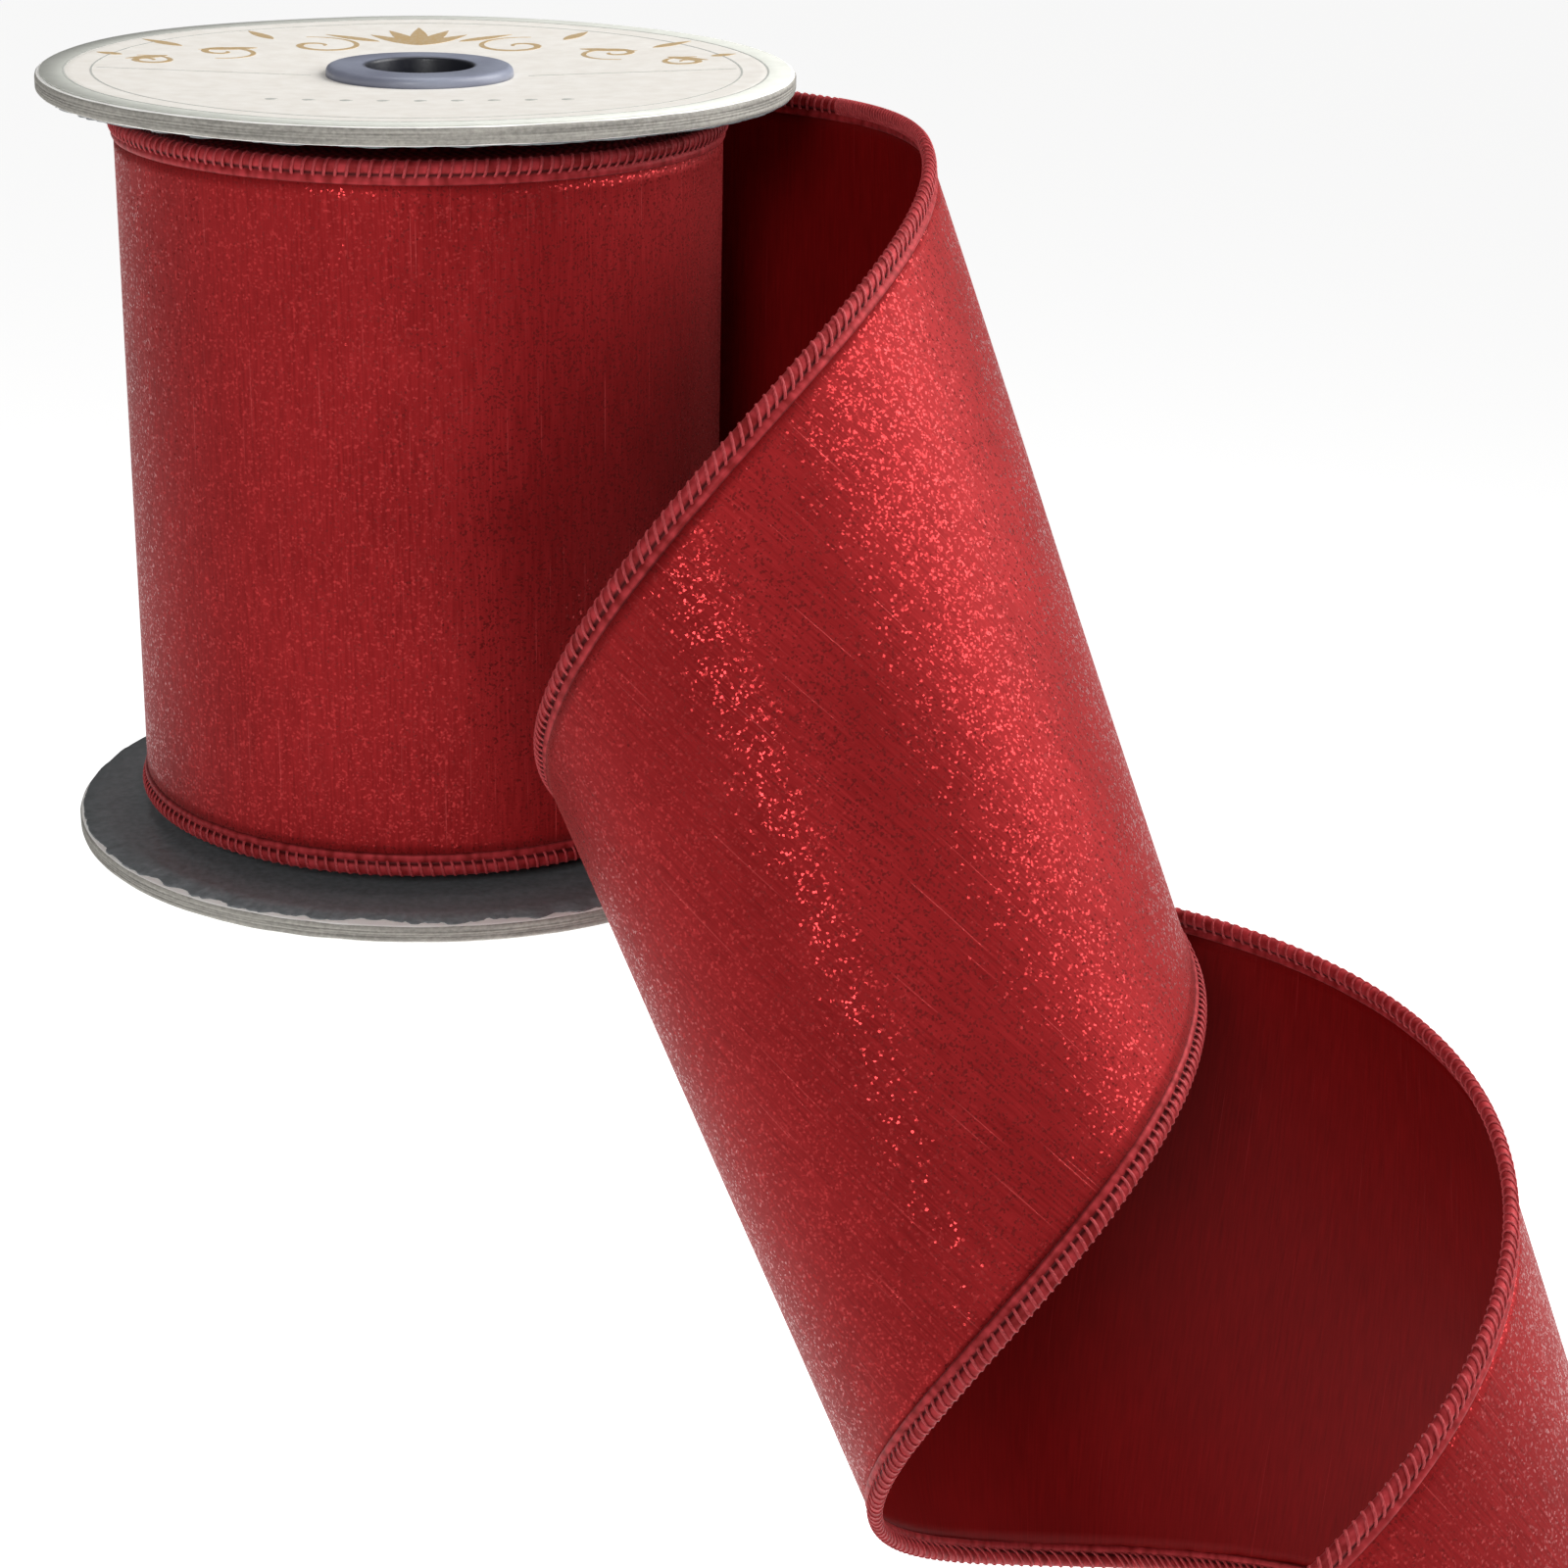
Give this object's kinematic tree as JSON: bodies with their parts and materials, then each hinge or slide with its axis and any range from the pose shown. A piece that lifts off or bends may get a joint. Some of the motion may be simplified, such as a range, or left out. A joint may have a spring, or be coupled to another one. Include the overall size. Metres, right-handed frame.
{
  "type": "ribbon spool",
  "caption": "Wired-edge fabric ribbon wound on a flanged card spool with a through bore; its loose end hangs in a curl and turns round the spool.",
  "frame": {"origin": "centre of the hub bore at the outer end of the lower hub plug, which is level with the lower flange's rim", "axes": "+Z along the hub bore towards the upper flange, +X towards the side on which the loose tail hangs, -Y towards the front"},
  "size_m": [0.2261, 0.2356, 0.2734],
  "materials": {
    "core_card": "matt spiral-wound card",
    "tape": "clear adhesive tape",
    "hub_plastic": "semi-gloss moulded plastic",
    "grey_board": "uncoated grey board with a cut rim",
    "label_paper": "coated cover paper with a printed gold ornament",
    "lining_paper": "dark matt lining paper",
    "ribbon_fabric": "slubbed shot weave with a satin sheen",
    "hem_fabric": "folded and rolled fabric edge",
    "hem_wire": "fine drawn steel wire",
    "thread": "twisted polyester thread"
  },
  "bodies": {
    "spool": {"core_tube": "core_card", "core_tape": "tape", "lower_hub_plug": "hub_plastic", "upper_hub_plug": "hub_plastic", "lower_flange_board": "grey_board", "upper_flange_board": "grey_board", "lower_flange_label": "label_paper", "upper_flange_label": "label_paper", "lower_flange_lining": "lining_paper", "upper_flange_lining": "lining_paper", "ribbon_roll": "ribbon_fabric", "roll_upper_hem": "hem_fabric", "roll_lower_hem": "hem_fabric"},
    "ribbon_tail": {"outer_wrap": "ribbon_fabric", "tail_fabric": "ribbon_fabric", "upper_hem": "hem_fabric", "lower_hem": "hem_fabric", "upper_wire": "hem_wire", "lower_wire": "hem_wire", "upper_stitching": "thread", "lower_stitching": "thread"}
  },
  "joints": [
    {"name": "ribbon_unwind", "type": "hinge", "parent": "spool", "child": "ribbon_tail", "pos_m": [0, 0, 0], "axis": [0, 0, 1], "continuous": true}
  ]
}
